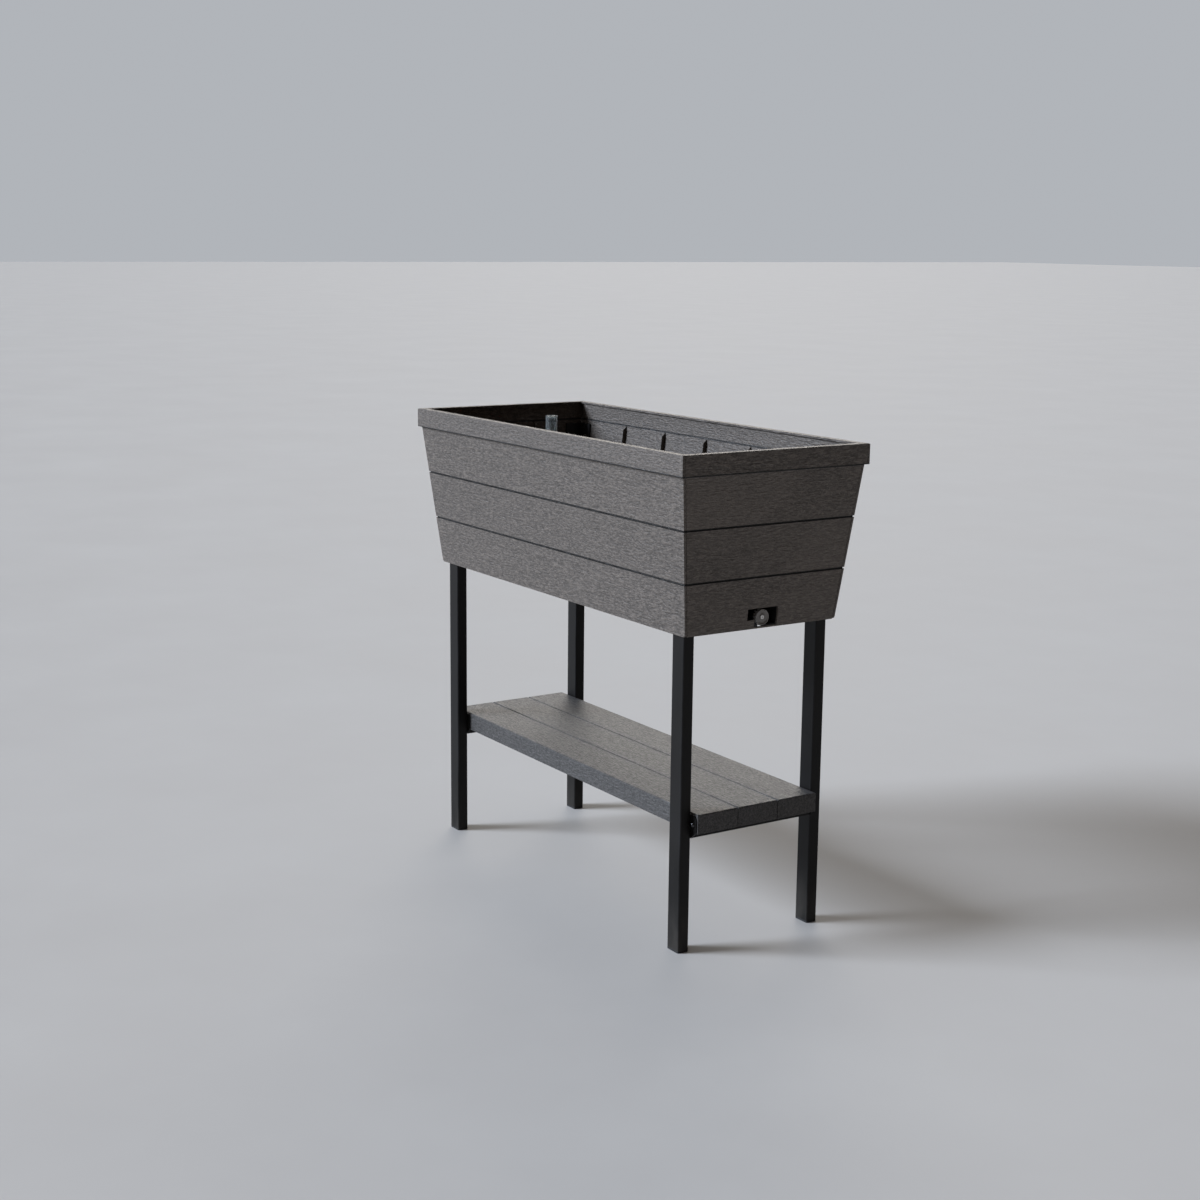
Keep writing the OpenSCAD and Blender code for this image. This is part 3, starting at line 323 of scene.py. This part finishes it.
def foam(name):
    """White beaded foam, stained by water."""
    s = Shader(name, Specular_IOR_Level=0.25)
    beads = s.cells(s.position, 420.0)
    stain = s.noise(s.position, 110.0, 3.0, 0.6)
    colour = s.mix(s.fit(beads, 0.1, 0.6), (0.78, 0.77, 0.72), (0.52, 0.5, 0.45))
    colour = s.mix(s.fit(stain, 0.5, 0.75, 0.0, 0.4), colour, (0.42, 0.36, 0.26))
    rough = s.fit(beads, 0.1, 0.6, 0.6, 0.85)
    return s.finish(Base_Color=colour, Roughness=rough, Normal=s.bump(beads, 0.2 * MM, 0.8))


def wall_resin(name, grain_axis):
    return resin(name, grain_axis, (0.098, 0.083, 0.071), "z", BOX_BOTTOM, ROW_HEIGHT, wall_edges,
                 groove_painted_shade)


def board_resin(name):
    return resin(name, "x", (0.054, 0.051, 0.049), "y", SHELF_LOW.y, BOARD_PITCH, board_edges)


END_WALL_FINISH = wall_resin("resin_end_walls", "y")
FINISHES = {               # by the record's material slot
    "wall_resin": wall_resin("resin_long_walls", "x"),
    "board_resin": board_resin("resin_boards"),
    "black_steel": powder_coat("powder_coat_black", (0.004, 0.0035, 0.0032)),
    "black_plastic": moulded("plastic_black", (0.012, 0.012, 0.0125), 0.52, 1100.0),
    "zinc_steel": metal("steel_zinc", (0.42, 0.42, 0.42), 0.36, (0.5, 0.46, 0.36)),
    "black_bolts": metal("steel_black_oxide", (0.05, 0.05, 0.052), 0.34, (0.09, 0.088, 0.086)),
    "bright_steel": metal("steel_bright", (0.62, 0.61, 0.59), 0.22, (0.5, 0.49, 0.47)),
    "seal_rubber": rubber("rubber_black"),
    "tap_plastic": moulded("plastic_tap", (0.014, 0.014, 0.0145), 0.4, 1500.0),
    "knob_plastic": moulded("plastic_knob", (0.17, 0.16, 0.15), 0.2, 1700.0),
    "clear_plastic": clear_plastic("plastic_clear"),
    "float_foam": foam("foam_white"),
    "red_plastic": moulded("plastic_red", (0.42, 0.022, 0.012), 0.32, 1500.0),
}


# ---- Carried-over CAD nodes: rounded edges and finishes ----

FLAT_ANGLE = math.radians(0.3)      # faces closer than this are one flat face
SHARP_ANGLE = math.radians(28.0)    # edges sharper than this are rounded
EDGE_RADIUS = {                     # by material slot; the other slots keep the CAD edges
    "wall_resin": 0.8 * MM, "board_resin": 0.9 * MM, "black_steel": 0.4 * MM,
    "black_plastic": 0.4 * MM, "tap_plastic": 0.4 * MM, "red_plastic": 0.4 * MM,
    "clear_plastic": 0.4 * MM,
}


def round_edges(piece, radius):
    """Merges the triangles of flat faces, then rounds each sharp edge."""
    custom = piece.data.attributes.get("custom_normal")
    if custom:
        piece.data.attributes.remove(custom)
    piece.data.polygons.foreach_set("use_smooth", [True] * len(piece.data.polygons))
    weld = piece.modifiers.new("join_corners", "WELD")
    weld.merge_threshold = 1e-6
    flat = piece.modifiers.new("merge_flat_faces", "DECIMATE")
    flat.decimate_type = "DISSOLVE"
    flat.angle_limit = FLAT_ANGLE
    bevel = piece.modifiers.new("round_edges", "BEVEL")
    bevel.width = radius
    bevel.segments = 2
    bevel.limit_method = "ANGLE"
    bevel.angle_limit = SHARP_ANGLE
    normals = piece.modifiers.new("even_normals", "WEIGHTED_NORMAL")
    normals.keep_sharp = True


def finish_cad_nodes():
    for row in frame["record"]["subparts"]:
        piece = frame["nodes"][row["node"]]
        slot_name = row["material_slot"]
        is_end_wall = row["node"].endswith("_end_panel")
        piece.data.materials.clear()
        piece.data.materials.append(END_WALL_FINISH if is_end_wall else FINISHES[slot_name])
        if slot_name in EDGE_RADIUS:
            round_edges(piece, EDGE_RADIUS[slot_name])


# ---- Pieces made here ----

SMOOTH_ANGLE = math.radians(32.0)    # sharper edges of the turned pieces stay crisp
KNOB_FLUTES = 18
LEVEL_HEIGHTS = {"low": 0.719, "half": 0.734, "full": 0.754}    # of the gauge's rings


def turned(name, outline, axis, centre, segments=96, flutes=0):
    """A closed ring turned about a line along X or Z. Each point of the outline is its place along the
    line, its radius and how deep the flutes cut there, in millimetres; centre is in metres."""
    solid = bmesh.new()
    rings = []
    for step in range(segments):
        angle = math.tau * step / segments
        notch = (0.5 + 0.5 * math.cos(flutes * angle)) ** 2
        ring = []
        for along, radius, depth in outline:
            side = (radius - depth * notch) * math.cos(angle)
            rise = (radius - depth * notch) * math.sin(angle)
            place = (along, side, rise) if axis == "x" else (side, rise, along)
            ring.append(solid.verts.new(Vector(centre) + Vector(place) * MM))
        rings.append(ring)
    for step, here in enumerate(rings):
        after = rings[(step + 1) % segments]
        for i in range(len(outline)):
            j = (i + 1) % len(outline)
            solid.faces.new((here[i], here[j], after[j], after[i]))
    bmesh.ops.recalc_face_normals(solid, faces=solid.faces)
    mesh = bpy.data.meshes.new(name)
    solid.to_mesh(mesh)
    solid.free()
    mesh.polygons.foreach_set("use_smooth", [True] * len(mesh.polygons))
    mesh.set_sharp_from_angle(angle=SMOOTH_ANGLE)
    piece = bpy.data.objects.new(name, mesh)
    bpy.context.scene.collection.objects.link(piece)
    return piece


def dress(piece, body, slot_name):
    """Gives a piece the finish of its material slot and the body that it rides on."""
    piece.data.materials.append(FINISHES[slot_name])
    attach(piece, body)


def tap_knob():
    """The fluted knob, with a rolled front ring, a dished face and a hub round the screw."""
    back = [(3.0, 2.55, 0.0), (3.0, 9.8, 0.0), (0.4, 10.5, 0.0), (0.0, 11.0, 0.0), (0.0, 12.0, 0.5)]
    fluted_side = [(0.5, 12.75, 1.2), (1.0, 12.9, 1.4), (6.6, 12.9, 1.4), (7.2, 12.7, 1.1),
                   (7.6, 12.3, 0.5), (7.8, 12.1, 0.0)]
    front_ring = [(8.3, 12.3, 0.0), (8.8, 12.1, 0.0), (9.0, 11.6, 0.0), (8.9, 11.0, 0.0),
                  (8.4, 10.6, 0.0), (7.5, 10.1, 0.0)]
    dished_face = [(7.25, 9.0, 0.0), (7.2, 6.6, 0.0), (7.4, 5.4, 0.0)]
    hub = [(8.2, 4.8, 0.0), (8.8, 4.6, 0.0), (9.0, 4.2, 0.0), (8.9, 3.6, 0.0), (6.65, 3.4, 0.0)]
    screw_hole = [(6.65, 1.7, 0.0), (5.0, 1.7, 0.0), (5.0, 2.55, 0.0)]
    outline = back + fluted_side + front_ring + dished_face + hub + screw_hole
    centre = (KNOB_LOW.x, (KNOB_LOW.y + KNOB_HIGH.y) / 2, (KNOB_LOW.z + KNOB_HIGH.z) / 2)
    piece = turned("knob_fluted", outline, "x", centre, 12 * KNOB_FLUTES, KNOB_FLUTES)
    dress(piece, "tap_knob", "knob_plastic")
    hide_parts("tap_knob")


def gauge_rings():
    """Raised rings on the clear gauge at its low, half and full levels."""
    radius = (GAUGE_HIGH.x - GAUGE_LOW.x) / 2 / MM
    outline = [(-0.5, radius - 0.3, 0.0), (-0.5, radius + 0.1, 0.0), (-0.2, radius + 0.35, 0.0),
               (0.2, radius + 0.35, 0.0), (0.5, radius + 0.1, 0.0), (0.5, radius - 0.3, 0.0)]
    middle = (GAUGE_LOW + GAUGE_HIGH) / 2
    for name, height in LEVEL_HEIGHTS.items():
        piece = turned("gauge_ring_" + name, outline, "z", (middle.x, middle.y, height))
        dress(piece, "planter", "red_plastic" if name == "low" else "black_plastic")


# ---- Floor, lights and camera ----

FLOOR_HALF_SIZE = 60.0
OPEN_SKY = (0.44, 0.46, 0.49, 1.0)
DIM_SKY = (0.034, 0.02, 0.01, 1.0)
SKY_FADE = (-0.45, 0.5)    # the X of the directions between which the open sky turns into the dim one
CAMERA_PLACE = (2.5983, -1.7221, 1.0920)
CAMERA_YAW = math.radians(57.21)
CAMERA_PITCH = math.radians(11.09)    # downwards
CAMERA_ROLL = math.radians(0.578)
LENS_MM = 56.08


def soft_light(name, place, strength, spread, colour):
    """A broad even light from the direction of place, spread degrees wide."""
    data = bpy.data.lights.new(name, "SUN")
    data.energy = strength
    data.angle = math.radians(spread)
    data.color = colour
    light = bpy.data.objects.new(name, data)
    bpy.context.scene.collection.objects.link(light)
    light.location = place
    light.rotation_euler = (-Vector(place)).to_track_quat("-Z", "Y").to_euler()


def plain_floor():
    """A pale floor that reaches the horizon."""
    mesh = bpy.data.meshes.new("floor")
    signs = ((-1, -1), (1, -1), (1, 1), (-1, 1))
    corners = [(sx * FLOOR_HALF_SIZE, sy * FLOOR_HALF_SIZE, 0.0) for sx, sy in signs]
    mesh.from_pydata(corners, [], [(0, 1, 2, 3)])
    floor = bpy.data.objects.new("floor", mesh)
    bpy.context.scene.collection.objects.link(floor)
    s = Shader("floor_pale")
    patches = s.noise(s.position, 1.7, 4.0, 0.6)
    colour = s.mix(s.fit(patches, 0.3, 0.7), (0.5, 0.475, 0.448), (0.54, 0.515, 0.485))
    mesh.materials.append(s.finish(Base_Color=colour, Roughness=s.fit(patches, 0.3, 0.7, 0.7, 0.8)))


def studio_world():
    """Soft light from all round, dim from the drain-tap end."""
    world = bpy.data.worlds.new("studio")
    bpy.context.scene.world = world
    world.use_nodes = True
    nodes, links = world.node_tree.nodes, world.node_tree.links
    toward = nodes.new("ShaderNodeTexCoord").outputs["Generated"]
    axes = nodes.new("ShaderNodeSeparateXYZ")
    fade = nodes.new("ShaderNodeMapRange")
    tint = nodes.new("ShaderNodeMix")
    tint.data_type = "RGBA"
    fade.inputs["From Min"].default_value = SKY_FADE[0]
    fade.inputs["From Max"].default_value = SKY_FADE[1]
    tint.inputs[6].default_value = OPEN_SKY
    tint.inputs[7].default_value = DIM_SKY
    links.new(toward, axes.inputs["Vector"])
    links.new(axes.outputs["X"], fade.inputs["Value"])
    links.new(fade.outputs["Result"], tint.inputs["Factor"])
    links.new(tint.outputs[2], nodes["Background"].inputs["Color"])


def studio():
    """The floor, the sky, a cool key light on the front and a warm light from behind."""
    plain_floor()
    studio_world()
    soft_light("key", (-3.8, -7.0, 4.0), 4.5, 22.0, (0.82, 0.92, 1.08))
    soft_light("back", (-6.2, 4.6, 3.4), 0.7, 30.0, (1.0, 0.93, 0.84))


def camera():
    """The camera that the photograph was taken with: its place, turn and lens."""
    data = bpy.data.cameras.new("camera")
    data.lens = LENS_MM
    data.clip_end = 200.0
    cam = bpy.data.objects.new("camera", data)
    bpy.context.scene.collection.objects.link(cam)
    level_ahead = Vector((-math.sin(CAMERA_YAW), math.cos(CAMERA_YAW), 0.0))
    ahead = level_ahead * math.cos(CAMERA_PITCH) - Vector((0.0, 0.0, math.sin(CAMERA_PITCH)))
    level = Vector((math.cos(CAMERA_YAW), math.sin(CAMERA_YAW), 0.0))
    upright = level.cross(ahead)
    right = level * math.cos(CAMERA_ROLL) + upright * math.sin(CAMERA_ROLL)
    up = upright * math.cos(CAMERA_ROLL) - level * math.sin(CAMERA_ROLL)
    turn = Matrix((right, up, -ahead)).transposed()
    cam.matrix_world = Matrix.Translation(CAMERA_PLACE) @ turn.to_4x4()
    bpy.context.scene.camera = cam


finish_cad_nodes()
tap_knob()
gauge_rings()
studio()
camera()
bpy.context.scene.view_settings.view_transform = "Standard"
